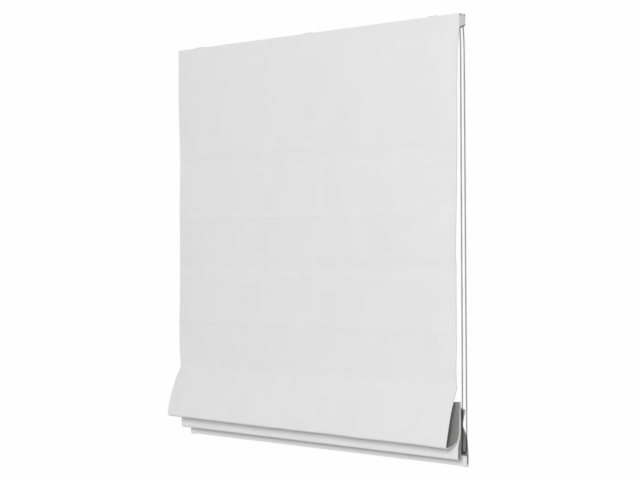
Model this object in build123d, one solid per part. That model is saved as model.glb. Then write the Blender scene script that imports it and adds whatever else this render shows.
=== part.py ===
from build123d import *
import os
from math import acos, atan2, cos, pi, sin

os.makedirs("parts", exist_ok=True)

# A chain-operated roman blind, hung from its brackets, its lowest folds gathered.
# Millimetres. X runs along the blind, +Y to the wall behind it, +Z up.
# The origin is on the line of the bracket screws, in the face the brackets bear on.

# ---- overall sizes
blind_width = 1200.0
first_drop = 400.0  # head's top edge down to the first rod
fold_pitch = 348.0  # from one rod to the next
cloth_thickness = 1.6  # face cloth and lining together
cloth_inset_top = 1.0  # each side, at the head
cloth_inset_low = 8.5  # each side, from the first rod down
soft_gap = 0.3  # between a cloth piece and its neighbour

# ---- head rail: a channel, open underneath between two lips
rail_depth = 26.4
rail_height = 39.0
rail_wall = 1.4
rail_slot_clear = 0.6  # lift cord to the rail's lips
groove_height = 2.0  # snap groove for the brackets, outside both walls
groove_depth = 0.7
groove_drop = 5.0  # rail's top down to the groove
groove_half_gap = 0.3  # hook in its groove, above and below
edge_round = 0.8

# ---- touch tape that holds the cloth on the rail
tape_thickness = 1.0  # each half
tape_height = 25.0
tape_drop = 10.5  # rail's top down to the tape
tape_inset = 8.0  # each end

# ---- ceiling brackets
bracket_plate = 2.5
bracket_length = 30.0
bracket_inset = 100.0  # blind's side to the screw of an outer bracket
bracket_hole_radius = 2.5
bracket_sink_radius = 4.3
bracket_leg = 1.2
bracket_leg_gap = 0.1
bracket_leg_drop = 8.4  # leg's length below the plate
bracket_hook = 0.6

# ---- shaft, spools and cradles
shaft_side = 5.0
slide_gap = 0.05  # square bore over the shaft, each side
shaft_end_gap = 0.5
running_gap = 0.1  # radial, journal in its bearing
journal_radius = 4.6
journal_length = 14.0
spool_core_radius = 5.5
spool_flange_radius = 9.5
spool_flange = 1.5
spool_length = 50.0
lift_point_inset = 140.0  # blind's side to the middle of an outer spool
winding_length = 22.0
winding_gap = 0.05
cradle_head = 3.0  # cradle wall above the journal
cradle_wall = 2.5
cradle_base = 2.0
cradle_side_gap = 0.4
cradle_end_gap = 0.5
eyelet_radius = 1.8

# ---- end fittings
end_plate = 3.0
plug_length = 17.0
plug_gap = 0.2
plug_wall = 2.0
drive_flange = 1.4
drive_slant = 9.0  # how much higher the drive's underside is at its back edge
drive_slant_start = 2.0  # front edge back to where the slant starts
cover_thickness = 1.4
cover_screw_radius = 1.5
cover_screw_head_radius = 2.0
cover_screw_head = 0.8
cover_screw_length = 6.0
cover_screw_places = (-10.6, 8.4)
cover_screw_drop = 4.2
screw_slot = 0.6
screw_gap = 0.1

# ---- bead chain and its wheel
bead_radius = 2.25
bead_pitch = 6.0
wheel_pockets = 9
pocket_depth = 0.35
chain_gap = 0.3
wheel_flange = 0.7
wheel_side_gap = 0.4  # wheel to the housing's inner flange
chamber_wall = 1.2  # least wall in front of and behind the wheel's chamber
wheel_hub_radius = 6.0
wheel_hub_length = 20.0
wheel_pin_radius = 2.5
chain_drop = 1258.0  # wheel's axis down to the centre of the loop's lower turn
chain_lean = 7.0  # the loop's lower turn hangs this much nearer the wall
chain_low_radius = 10.5
wheel_rim = 1.4  # rim beyond the line of the beads
socket_wall = 1.0  # solid left at the blind end of the wheel's shaft socket
guide_thickness = 3.2
guide_slot_radius = 3.0  # round each strand
guide_fin_half = 4.8
guide_fin_gap = 0.6  # fin below the wheel

# ---- rods, pockets, rings and lift cords
rod_radius = 2.0
pocket_inset = 12.0  # cloth's side edge to its rod pockets' ends
rod_inset = 5.5  # pocket's end to its rod's end
pocket_gap = 0.3
pocket_wall = 1.0
pocket_flange_half = 6.0
ring_clear = 0.3  # lift cord to the ring round it
ring_wire = 1.0
cord_radius = 0.6
toggle_radius = 2.6
toggle_length = 9.0
toggle_round = 0.8
toggle_grip = 6.5  # length of cord inside the toggle
toggle_bore_gap = 0.2

# ---- bottom bar
bar_thickness = 4.0
bar_height = 25.0
bar_inset = 12.0  # cloth's side edge to the bar's end cap
bar_cap_length = 4.0

# ---- places worked out from the sizes
half_width = blind_width / 2
wheel_radius = bead_pitch / (2 * sin(pi / wheel_pockets))
groove_radius = bead_radius + chain_gap
wheel_half = groove_radius + wheel_flange
drive_width = drive_flange + wheel_side_gap + 2 * wheel_half + chain_gap + cover_thickness
chamber_half = wheel_radius + groove_radius + chain_gap
drive_depth = max(rail_depth, 2 * (chamber_half + chamber_wall))
drive_front = -drive_depth / 2
drive_back = drive_depth / 2
rail_front = -rail_depth / 2
rail_back = rail_depth / 2
head_top = -bracket_plate
head_bottom = head_top - rail_height
shaft_z = head_top - rail_height / 2
cloth_back = rail_front - 2 * tape_thickness
cloth_front = cloth_back - cloth_thickness
cloth_middle = (cloth_front + cloth_back) / 2
rail_left = -half_width + end_plate
rail_right = half_width - drive_width
rod_z = [head_top - first_drop - i * fold_pitch for i in range(3)]
pocket_radius = rod_radius + pocket_gap + pocket_wall
rod_y = cloth_back + soft_gap + pocket_radius
lift_reach = half_width - lift_point_inset
bracket_reach = half_width - bracket_inset
lift_points = {"left": -lift_reach, "centre": 0.0, "right": lift_reach}
bracket_points = {"left": -bracket_reach, "centre": 0.0, "right": bracket_reach}
pocket_half_length = half_width - cloth_inset_low - pocket_inset
rod_half_length = pocket_half_length - rod_inset
bar_half_length = half_width - cloth_inset_low - bar_inset - bar_cap_length
cover_inner = half_width - cover_thickness
wheel_x = cover_inner - chain_gap - wheel_half
cord_y = spool_core_radius + cord_radius
cord_back = cord_y + cord_radius + ring_clear
rail_slot_half = cord_y + cord_radius + rail_slot_clear
cord_front = cord_y - cord_radius - ring_clear
ring_radius = (cord_back - rod_y - pocket_radius - soft_gap) / 2  # middle of the ring's wire
ring_reach = pocket_radius + soft_gap + ring_radius + ring_wire
rod_4_y = cord_front + ring_radius - ring_wire - ring_reach

# ---- the gathered folds: the cloth's middle line, from the third rod's crease in Y and Z
seam_rise = 6.0  # the hanging cloth ends this much above the crease
fold_turn = 1.5  # radius of the cloth's middle line over a rod
rod_4_height = -46.0  # middle of the fold over the fourth rod
rod_5_fold = (32.6, -69.5)
rod_5_shift = 0.8  # the fifth rod's pocket sits behind the middle of its fold
pocket_4_drop = 6.5  # the fourth rod's pocket hangs behind its fold, below the top
bar_offset = 46.7
bar_foot = -237.0  # lower edge of the hem round the bar
hem_rise = 29.0
hem_flick = (-8.0, 3.0)  # the hem's free edge stands off the bar
hem_round = 1.6

seam_z = rod_z[2] + seam_rise
half_cloth = cloth_thickness / 2
pocket_seat = half_cloth + soft_gap + pocket_radius
rod_4_fold = (rod_4_y - cloth_middle - fold_turn - pocket_seat, rod_4_height)
hem_half = bar_thickness / 2 + soft_gap + half_cloth
folds = [  # Y and Z from the crease, and the radius of the turn there
    (0.0, 0.0, 12.0),
    (-43.8, -94.0, 420.0),
    (-57.3, -175.0, 6.0),  # lower edge of the front fold
    (3.7, -163.0, 36.0),
    (rod_4_fold[0] - fold_turn, rod_4_fold[1], fold_turn * 0.98),
    (rod_4_fold[0] + fold_turn, rod_4_fold[1], fold_turn * 0.98),
    (11.4, -140.0, 20.0),
    (-0.2, -172.0, 20.0),
    (-1.2, -213.0, 5.0),  # lower edge of the second fold
    (11.8, -213.0, 5.0),
    (14.7, -154.0, 60.0),
    (15.7, -111.0, 40.0),
    (rod_5_fold[0] - fold_turn, rod_5_fold[1], fold_turn * 0.9),
    (rod_5_fold[0] + fold_turn, rod_5_fold[1], fold_turn * 0.9),
    (19.7, -113.0, 20.0),
    (43.2, -150.0, 60.0),
    (bar_offset + hem_half, bar_foot + hem_rise + 6.0, 60.0),
    (bar_offset + hem_half, bar_foot + half_cloth, hem_round),
    (bar_offset - hem_half, bar_foot + half_cloth, hem_round),
    (bar_offset - hem_half, bar_foot + hem_rise, hem_round),
]
fold_points = [(cloth_middle + y, rod_z[2] + z) for y, z, turn in folds]
fold_end = (fold_points[-1][0] + hem_flick[0], fold_points[-1][1] + hem_flick[1])
fold_radii = [turn for y, z, turn in folds]

rod_4_place = (rod_4_y, rod_z[2] + rod_4_height - pocket_4_drop)
rod_5_place = (
    cloth_middle + rod_5_fold[0] + rod_5_shift,
    rod_z[2] + rod_5_fold[1] + pocket_seat,
)
rod_places = [(rod_y, z) for z in rod_z] + [rod_4_place, rod_5_place]
ring_sides = [1, 1, 1, 1, -1]  # +1: behind its rod, -1: in front of it
toggle_top = rod_5_place[1] - ring_wire - soft_gap
bar_y = cloth_middle + bar_offset
bar_z = rod_z[2] + bar_foot + cloth_thickness + soft_gap


def save(solid, name):
    export_step(solid, f"parts/{name}.step")


def along_x(face, start, end):
    """Extrude a face drawn in Y and Z from one X to another."""
    return extrude(Plane.YZ.offset(start) * face, amount=end - start)


def block(x_low, x_high, y_low, y_high, z_low, z_high):
    size = (x_high - x_low, y_high - y_low, z_high - z_low)
    middle = Pos((x_low + x_high) / 2, (y_low + y_high) / 2, (z_low + z_high) / 2)
    return middle * Box(*size)


def disc(radius, start, end, y=0.0, z=shaft_z):
    """A cylinder along X."""
    return along_x(Pos(y, z) * Circle(radius), start, end)


def square_bore(start, end):
    side = shaft_side + 2 * slide_gap
    return along_x(Pos(0, shaft_z) * Rectangle(side, side), start, end)


def head_outline():
    return Pos(0, shaft_z) * RectangleRounded(rail_depth, rail_height, edge_round)


def drive_outline():
    """The head's outline, as deep as the wheel needs, with a slanted underside."""
    start = drive_front + drive_slant_start
    wedge = Polygon(
        (start, head_bottom),
        (drive_back, head_bottom + drive_slant),
        (drive_back + 1, head_bottom + drive_slant),
        (drive_back + 1, head_bottom - 1),
        (start, head_bottom - 1),
        align=None,
    )
    return Pos(0, shaft_z) * RectangleRounded(drive_depth, rail_height, edge_round) - wedge


def underside(y):
    """Height of the drive's slanted underside at a Y."""
    start = drive_front + drive_slant_start
    return head_bottom + drive_slant * (y - start) / (drive_back - start)


def inner_outline(gap):
    width = rail_depth - 2 * rail_wall - 2 * gap
    height = rail_height - 2 * rail_wall - 2 * gap
    return Pos(0, shaft_z) * Rectangle(width, height)


# ---- head
def head_rail():
    section = head_outline() - inner_outline(0)
    section -= Pos(0, head_bottom) * Rectangle(2 * rail_slot_half, 4 * rail_wall)
    groove_z = head_top - groove_drop - groove_height / 2
    for side in (rail_front, rail_back):
        section -= Pos(side, groove_z) * Rectangle(2 * groove_depth, groove_height)
    return along_x(section, rail_left, rail_right)


def tape(y_low):
    top = head_top - tape_drop
    reach = half_width - drive_width - tape_inset
    return block(-reach, reach, y_low, y_low + tape_thickness, top - tape_height, top)


def end_cap_left():
    cap = along_x(head_outline(), -half_width, rail_left)
    plug = along_x(inner_outline(plug_gap), rail_left, rail_left + plug_length)
    hollow = along_x(inner_outline(plug_gap + plug_wall), rail_left, rail_left + plug_length)
    hub = disc(journal_radius + plug_wall, rail_left, rail_left + journal_length)
    web = block(
        rail_left,
        rail_left + journal_length,
        rail_front + rail_wall + plug_gap,
        rail_back - rail_wall - plug_gap,
        shaft_z - plug_wall,
        shaft_z + plug_wall,
    )
    cap += (plug - hollow) + hub + web
    return cap - disc(journal_radius + running_gap, rail_left, rail_left + journal_length)


def shaft_journal():
    start = rail_left + slide_gap
    end = rail_left + journal_length
    return disc(journal_radius, start, end) - square_bore(start, end)


def drive_housing():
    inner_x = rail_right - plug_length
    body = along_x(drive_outline(), rail_right, cover_inner)
    chamber_start = rail_right + drive_flange
    body -= disc(chamber_half, chamber_start, cover_inner)
    body -= block(
        chamber_start,
        cover_inner,
        -chamber_half,
        chamber_half,
        head_bottom - rail_wall,
        shaft_z,
    )
    plug = along_x(inner_outline(plug_gap), inner_x, rail_right)
    plug -= along_x(inner_outline(plug_gap + plug_wall), inner_x, rail_right)
    hub = disc(wheel_hub_radius + plug_wall, inner_x, rail_right)
    web = block(
        inner_x,
        rail_right,
        rail_front + rail_wall + plug_gap,
        rail_back - rail_wall - plug_gap,
        shaft_z - plug_wall,
        shaft_z + plug_wall,
    )
    body += plug + hub + web
    body -= disc(wheel_hub_radius + running_gap, inner_x, chamber_start)
    for y in cover_screw_places:
        z = head_top - cover_screw_drop
        hole = cover_screw_radius + screw_gap
        body -= disc(hole, cover_inner - cover_screw_length, cover_inner, y, z)
    return body


def drive_cover():
    cover = along_x(drive_outline(), cover_inner, half_width)
    for y in cover_screw_places:
        z = head_top - cover_screw_drop
        cover -= disc(cover_screw_radius + screw_gap, cover_inner, half_width, y, z)
        seat = half_width - cover_screw_head
        cover -= disc(cover_screw_head_radius + screw_gap, seat, half_width, y, z)
    return cover + disc(wheel_pin_radius, wheel_x - wheel_half + chain_gap, cover_inner)


def cover_screws():
    screws = []
    for y in cover_screw_places:
        z = head_top - cover_screw_drop
        seat = half_width - cover_screw_head
        tip = cover_inner - cover_screw_length + screw_gap
        screw = disc(cover_screw_radius, tip, seat, y, z)
        screw += disc(cover_screw_head_radius, seat, half_width, y, z)
        slot = along_x(
            Pos(y, z) * Rectangle(2 * cover_screw_radius, screw_slot),
            half_width - cover_screw_head / 2,
            half_width,
        )
        screws.append(screw - slot)
    return Compound(children=screws)


def chain_guide():
    """Closes the drive's underside, with a slot for each strand and a fin between them."""
    start = rail_right + drive_flange
    front = drive_front + drive_slant_start
    fin_top = shaft_z - wheel_radius - wheel_rim - guide_fin_gap
    plate = Polygon(
        (front, underside(front) - guide_thickness),
        (drive_back, underside(drive_back) - guide_thickness),
        (drive_back, underside(drive_back)),
        (front, underside(front)),
        align=None,
    )
    fin = Polygon(
        (-guide_fin_half, underside(-guide_fin_half)),
        (guide_fin_half, underside(guide_fin_half)),
        (guide_fin_half, fin_top),
        (-guide_fin_half, fin_top),
        align=None,
    )
    guide = along_x(plate, rail_right, half_width) + along_x(fin, start, cover_inner)
    for side in (-1, 1):
        slot = Cylinder(guide_slot_radius, 2 * rail_height)
        guide -= Pos(wheel_x, side * wheel_radius, head_bottom) * slot
    return guide


def chain_wheel():
    low = wheel_x - wheel_half
    high = wheel_x + wheel_half
    wheel = disc(wheel_radius + wheel_rim, low, high)
    wheel += disc(wheel_hub_radius, low - wheel_hub_length, low)
    groove = Pos(wheel_x, 0, shaft_z) * Rot(0, 90, 0) * Torus(wheel_radius, groove_radius)
    rim_start = wheel_x - groove_radius
    rim = disc(wheel_radius + 2 * wheel_rim, rim_start, rim_start + 2 * groove_radius)
    wheel -= rim - disc(wheel_radius, rim_start, rim_start + 2 * groove_radius)
    wheel -= groove
    for i in range(wheel_pockets):
        turn = 2 * pi * i / wheel_pockets
        y = wheel_radius * cos(turn)
        z = shaft_z + wheel_radius * sin(turn)
        wheel -= Pos(wheel_x, y, z) * Sphere(groove_radius + pocket_depth)
    wheel -= disc(wheel_pin_radius + running_gap, low, high)
    return wheel - square_bore(low - wheel_hub_length, low - socket_wall)


def belt_path(x, top, top_radius, low, low_radius):
    """The loop of a belt round two circles in the Y-Z plane: two runs and two arcs."""
    dy = low[0] - top[0]
    dz = low[1] - top[1]
    span = (dy * dy + dz * dz) ** 0.5
    lean = atan2(dz, dy)
    spread = acos((top_radius - low_radius) / span)
    points = {}
    for name, turn in (("front", lean - spread), ("back", lean + spread)):
        for end, centre, radius in (("top", top, top_radius), ("low", low, low_radius)):
            y = centre[0] + radius * cos(turn)
            z = centre[1] + radius * sin(turn)
            points[name + end] = Vector(x, y, z)
    crown = Vector(x, top[0] - top_radius * cos(lean), top[1] - top_radius * sin(lean))
    foot = Vector(x, low[0] + low_radius * cos(lean), low[1] + low_radius * sin(lean))
    runs = [
        Line(points["fronttop"], points["frontlow"]),
        ThreePointArc(points["frontlow"], foot, points["backlow"]),
        Line(points["backlow"], points["backtop"]),
        ThreePointArc(points["backtop"], crown, points["fronttop"]),
    ]
    return Wire([run.edge() for run in runs])


def bead_chain():
    path = belt_path(
        wheel_x,
        (0.0, shaft_z),
        wheel_radius,
        (chain_lean, shaft_z - chain_drop),
        chain_low_radius,
    )
    start = path.edges()[0]
    profile = Plane(origin=start @ 0, z_dir=start % 0) * Circle(bead_radius)
    chain = sweep(profile, path=path)
    expected = pi * bead_radius**2 * path.length
    print("bead_chain length", round(path.length, 1), "radii", round(wheel_radius, 2), chain_low_radius)
    print("bead_chain volume", round(chain.volume, 1), "section x length", round(expected, 1))
    return chain


def mount_bracket(x):
    low = x - bracket_length / 2
    high = x + bracket_length / 2
    reach = rail_back + bracket_leg_gap + bracket_leg
    bracket = block(low, high, -reach, reach, head_top, 0)
    for side in (-1, 1):
        inner = rail_back + bracket_leg_gap
        legs = sorted((side * inner, side * reach))
        leg_foot = head_top - bracket_leg_drop
        bracket += block(low, high, legs[0], legs[1], leg_foot, head_top)
        hook = sorted((side * inner, side * (rail_back - bracket_hook)))
        hook_top = head_top - groove_drop - groove_half_gap
        hook_foot = head_top - groove_drop - groove_height + groove_half_gap
        bracket += block(low, high, hook[0], hook[1], hook_foot, hook_top)
    bracket -= Pos(x, 0, -bracket_plate / 2) * Cylinder(bracket_hole_radius, bracket_plate)
    sink_depth = bracket_sink_radius - bracket_hole_radius
    sink = Cone(bracket_sink_radius, bracket_hole_radius, sink_depth)
    return bracket - Pos(x, 0, head_top + sink_depth / 2) * sink


def drive_shaft():
    start = rail_left + shaft_end_gap
    end = wheel_x - wheel_half - socket_wall - shaft_end_gap
    return along_x(Pos(0, shaft_z) * Rectangle(shaft_side, shaft_side), start, end)


def spool(x):
    half = spool_length / 2
    body = disc(spool_core_radius, x - half, x + half)
    for end in (-1, 1):
        faces = sorted((x + end * half, x + end * (half - spool_flange)))
        body += disc(spool_flange_radius, faces[0], faces[1])
        tips = sorted((x + end * half, x + end * (half + cradle_end_gap + cradle_wall)))
        body += disc(journal_radius, tips[0], tips[1])
    reach = half + cradle_end_gap + cradle_wall
    return body - square_bore(x - reach, x + reach)


def spool_cradle(x):
    half = spool_length / 2 + cradle_end_gap + cradle_wall
    side = rail_back - rail_wall - cradle_side_gap
    floor = head_bottom + rail_wall
    body = block(x - half, x + half, -side, side, floor, floor + cradle_base)
    for end in (-1, 1):
        faces = sorted((x + end * half, x + end * (half - cradle_wall)))
        wall_top = shaft_z + journal_radius + cradle_head
        body += block(faces[0], faces[1], -side, side, floor, wall_top)
        body -= disc(journal_radius + running_gap, faces[0], faces[1])
    return body - Pos(x, cord_y, floor + cradle_base / 2) * Cylinder(eyelet_radius, cradle_base)


def cord_windings():
    """The cord already wound on each spool, as one sleeve."""
    inner = spool_core_radius + winding_gap
    outer = spool_core_radius + 2 * cord_radius
    rolls = []
    for x in lift_points.values():
        roll = disc(outer, x, x + winding_length)
        rolls.append(roll - disc(inner, x, x + winding_length))
    return Compound(children=rolls)


def lift_cord(x):
    """Straight down off the winding, through the cradle's eyelet and the rings, into the toggle."""
    leave = shaft_z - spool_core_radius
    foot = toggle_top - toggle_grip
    middle = Pos(x, cord_y, (leave + foot) / 2)
    cord = middle * Cylinder(cord_radius, leave - foot)
    print("lift_cord length", round(leave - foot, 1))
    return cord


# ---- cloth and what is sewn to it
def fabric_drop():
    top = half_width - cloth_inset_top
    low = half_width - cloth_inset_low
    outline = Polygon(
        (-top, head_top),
        (top, head_top),
        (top, head_bottom),
        (low, rod_z[0]),
        (low, seam_z),
        (-low, seam_z),
        (-low, rod_z[0]),
        (-top, head_bottom),
        align=None,
    )
    back = Plane.XZ.offset(-cloth_back) * outline
    return extrude(back, amount=cloth_thickness, dir=(0, -1, 0))


def fabric_folds():
    start = (cloth_middle, seam_z - soft_gap - half_cloth)
    line = FilletPolyline(start, *fold_points, fold_end, radius=fold_radii)
    section = offset(line, amount=half_cloth, side=Side.BOTH)
    half = half_width - cloth_inset_low
    print("fabric_folds cloth length", round(line.length, 1))
    return along_x(make_face(section.edges()), -half, half)


def stiffening_rod(place):
    return disc(rod_radius, -rod_half_length, rod_half_length, *place)


def rod_pocket(place, flat):
    """A sleeve round the rod; on the hanging cloth it has a sewn flange as well."""
    y, z = place
    half = pocket_half_length
    sleeve = disc(pocket_radius, -half, half, y, z)
    if flat:
        flange = pocket_flange_half
        front = y - pocket_radius
        sleeve += block(-half, half, front, front + pocket_wall, z - flange, z + flange)
    return sleeve - disc(rod_radius + pocket_gap, -half, half, y, z)


def cord_rings(place, side):
    y, z = place
    rings = []
    for x in lift_points.values():
        rings.append(Pos(x, y + side * ring_reach, z) * Torus(ring_radius, ring_wire))
    return Compound(children=rings)


def cord_toggles():
    middle = toggle_top - toggle_length / 2
    bore_depth = toggle_grip + toggle_bore_gap
    toggles = []
    for x in lift_points.values():
        body = Pos(x, cord_y, middle) * Cylinder(toggle_radius, toggle_length)
        body = fillet(body.edges(), toggle_round)
        bore = Cylinder(cord_radius + toggle_bore_gap, bore_depth)
        toggles.append(body - Pos(x, cord_y, toggle_top - bore_depth / 2) * bore)
    return Compound(children=toggles)


def bar_block(start, end):
    low, high = sorted((start, end))
    half = bar_thickness / 2
    return block(low, high, bar_y - half, bar_y + half, bar_z, bar_z + bar_height)


def bar_caps():
    caps = []
    for side in (-1, 1):
        caps.append(bar_block(side * bar_half_length, side * (bar_half_length + bar_cap_length)))
    return Compound(children=caps)


save(head_rail(), "head_rail")
save(tape(rail_front - tape_thickness), "hook_tape")
save(tape(rail_front - 2 * tape_thickness), "loop_tape")
save(end_cap_left(), "end_cap_left")
save(shaft_journal(), "shaft_journal")
save(drive_housing(), "drive_housing")
save(drive_cover(), "drive_cover")
save(cover_screws(), "cover_screws")
save(chain_guide(), "chain_guide")
save(chain_wheel(), "chain_wheel")
save(bead_chain(), "bead_chain")
save(drive_shaft(), "drive_shaft")
for name, x in bracket_points.items():
    save(mount_bracket(x), f"mount_bracket_{name}")
for name, x in lift_points.items():
    save(spool(x), f"lift_spool_{name}")
    save(spool_cradle(x), f"spool_cradle_{name}")
    save(lift_cord(x), f"lift_cord_{name}")
save(cord_windings(), "cord_windings")
save(fabric_drop(), "fabric_drop")
save(fabric_folds(), "fabric_folds")
for i, place in enumerate(rod_places):
    save(stiffening_rod(place), f"stiffening_rod_{i + 1}")
    save(rod_pocket(place, i < 3), f"rod_pocket_{i + 1}")
    save(cord_rings(place, ring_sides[i]), f"cord_rings_{i + 1}")
save(cord_toggles(), "cord_toggles")
save(bar_block(-bar_half_length, bar_half_length), "bottom_bar")
save(bar_caps(), "bar_end_caps")
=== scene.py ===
import bpy
import math
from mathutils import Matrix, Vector, noise


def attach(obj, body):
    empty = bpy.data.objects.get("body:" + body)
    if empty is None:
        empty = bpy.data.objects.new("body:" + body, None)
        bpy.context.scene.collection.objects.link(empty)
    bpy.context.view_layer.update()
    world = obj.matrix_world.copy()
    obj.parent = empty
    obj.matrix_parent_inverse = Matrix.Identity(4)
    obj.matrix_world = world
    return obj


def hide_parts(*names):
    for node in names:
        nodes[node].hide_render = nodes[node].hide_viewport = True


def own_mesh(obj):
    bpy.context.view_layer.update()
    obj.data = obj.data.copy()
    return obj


# Roman blind with a bead chain, lowest folds gathered. Metres, as in the CAD frame.
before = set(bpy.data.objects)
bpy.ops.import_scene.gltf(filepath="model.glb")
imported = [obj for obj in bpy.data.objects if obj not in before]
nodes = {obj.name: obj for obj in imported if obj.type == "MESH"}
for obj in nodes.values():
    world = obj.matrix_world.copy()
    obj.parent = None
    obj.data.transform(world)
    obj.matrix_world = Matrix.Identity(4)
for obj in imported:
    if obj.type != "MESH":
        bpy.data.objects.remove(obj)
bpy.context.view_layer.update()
print("frame loaded,", len(nodes), "nodes")


# camera first, then everything else
cameraSet = {
    "place": (3.0348, -3.4082, -0.6849),
    "tilt": 90.26,
    "roll": 0.13,
    "turn": 41.303,
    "lens": 79.92,
}


def addCamera(values):
    data = bpy.data.cameras.new("camera")
    data.lens = values["lens"]
    data.sensor_width = 36.0
    data.clip_start = 0.05
    data.clip_end = 200.0
    camera = bpy.data.objects.new("camera", data)
    camera.location = values["place"]
    turns = (values["tilt"], values["roll"], values["turn"])
    camera.rotation_euler = [math.radians(angle) for angle in turns]
    bpy.context.collection.objects.link(camera)
    bpy.context.scene.camera = camera


addCamera(cameraSet)
print("camera placed")


# ---- shader groups shared by the finishes
def newGroup(name, inputs, outputs):
    group = bpy.data.node_groups.new(name, "ShaderNodeTree")
    for label, kind, value in inputs:
        socket = group.interface.new_socket(label, in_out="INPUT", socket_type=kind)
        if value is not None:
            socket.default_value = value
    for label, kind in outputs:
        group.interface.new_socket(label, in_out="OUTPUT", socket_type=kind)
    start = group.nodes.new("NodeGroupInput")
    end = group.nodes.new("NodeGroupOutput")
    return group, start.outputs, end.inputs


def mathNode(tree, operation, first, second=None):
    node = tree.nodes.new("ShaderNodeMath")
    node.operation = operation
    for socket, value in zip(node.inputs, (first, second)):
        if value is None:
            continue
        if isinstance(value, (int, float)):
            socket.default_value = value
        else:
            tree.links.new(value, socket)
    return node.outputs[0]


def scaledVector(tree, vector, scale):
    node = tree.nodes.new("ShaderNodeVectorMath")
    node.operation = "MULTIPLY"
    tree.links.new(vector, node.inputs[0])
    if isinstance(scale, tuple):
        node.inputs[1].default_value = scale
    else:
        tree.links.new(scale, node.inputs[1])
    return node.outputs[0]


def noiseNode(tree, vector, scale, detail=2.0):
    node = tree.nodes.new("ShaderNodeTexNoise")
    node.inputs["Detail"].default_value = detail
    node.inputs["Scale"].default_value = scale
    tree.links.new(vector, node.inputs["Vector"])
    return node.outputs["Fac"]


def colourMix(tree, factor, first, second):
    node = tree.nodes.new("ShaderNodeMix")
    node.data_type = "RGBA"
    tree.links.new(factor, node.inputs["Factor"])
    tree.links.new(first, node.inputs["A"])
    tree.links.new(second, node.inputs["B"])
    return node.outputs["Result"]


def weaveGroup():
    inputs = [
        ("Vector", "NodeSocketVector", None),
        ("Threads", "NodeSocketFloat", 1800.0),
        ("Slub", "NodeSocketFloat", 0.5),
        ("Colour", "NodeSocketColor", (0.8, 0.8, 0.8, 1.0)),
        ("Shade", "NodeSocketColor", (0.7, 0.7, 0.7, 1.0)),
    ]
    group, given, made = newGroup(
        "plainWeave", inputs, [("Colour", "NodeSocketColor"), ("Height", "NodeSocketFloat")]
    )
    split = group.nodes.new("ShaderNodeSeparateXYZ")
    group.links.new(given["Vector"], split.inputs[0])
    across = mathNode(group, "MULTIPLY", split.outputs["X"], given["Threads"])
    along = mathNode(group, "MULTIPLY", split.outputs["Y"], given["Threads"])
    sinAcross = mathNode(group, "SINE", mathNode(group, "MULTIPLY", across, math.pi))
    sinAlong = mathNode(group, "SINE", mathNode(group, "MULTIPLY", along, math.pi))
    over = mathNode(group, "MULTIPLY", sinAcross, sinAlong)
    over = mathNode(group, "MULTIPLY", over, 0.5)
    warp = mathNode(group, "ABSOLUTE", sinAcross)
    warp = mathNode(group, "MULTIPLY", warp, mathNode(group, "ADD", over, 0.5))
    weft = mathNode(group, "ABSOLUTE", sinAlong)
    weft = mathNode(group, "MULTIPLY", weft, mathNode(group, "SUBTRACT", 0.5, over))
    thread = mathNode(group, "ADD", warp, weft)
    weftSlub = noiseNode(group, scaledVector(group, given["Vector"], (14.0, 900.0, 1.0)), 1.0)
    warpSlub = noiseNode(group, scaledVector(group, given["Vector"], (900.0, 14.0, 1.0)), 1.0)
    slub = mathNode(group, "ADD", weftSlub, warpSlub)
    slub = mathNode(group, "MULTIPLY", mathNode(group, "SUBTRACT", slub, 1.0), given["Slub"])
    group.links.new(mathNode(group, "ADD", thread, slub), made["Height"])
    # the weave's colour darkens where its threads sink: painted shade in the hollows between threads,
    # plus the real tone of the slubs
    hollowShadeAndSlub = mathNode(group, "SUBTRACT", 0.75, thread)
    hollowShadeAndSlub = mathNode(group, "ADD", mathNode(group, "MULTIPLY", hollowShadeAndSlub, 0.5), slub)
    hollowShadeAndSlub = mathNode(group, "MAXIMUM", mathNode(group, "MINIMUM", hollowShadeAndSlub, 1.0), 0.0)
    group.links.new(colourMix(group, hollowShadeAndSlub, given["Colour"], given["Shade"]), made["Colour"])
    return group


def wrinkleGroup():
    # soft handling creases and the faint unevenness of hung cloth
    inputs = [
        ("Vector", "NodeSocketVector", None),
        ("Scale", "NodeSocketVector", (6.0, 3.0, 1.0)),
        ("Colour", "NodeSocketColor", (0.8, 0.8, 0.8, 1.0)),
        ("Shade", "NodeSocketColor", (0.7, 0.7, 0.7, 1.0)),
        ("Mottle", "NodeSocketFloat", 0.3),
    ]
    group, given, made = newGroup(
        "hungCloth", inputs, [("Colour", "NodeSocketColor"), ("Height", "NodeSocketFloat")]
    )
    place = scaledVector(group, given["Vector"], given["Scale"])
    broad = noiseNode(group, place, 1.0, 3.0)
    fine = noiseNode(group, place, 5.0, 4.0)
    height = mathNode(group, "ADD", broad, mathNode(group, "MULTIPLY", fine, 0.18))
    group.links.new(height, made["Height"])
    mottle = mathNode(group, "SUBTRACT", noiseNode(group, place, 2.3, 5.0), 0.35)
    mottle = mathNode(group, "MULTIPLY", mottle, given["Mottle"])
    mottle = mathNode(group, "MAXIMUM", mathNode(group, "MINIMUM", mottle, 1.0), 0.0)
    group.links.new(colourMix(group, mottle, given["Colour"], given["Shade"]), made["Colour"])
    return group


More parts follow.
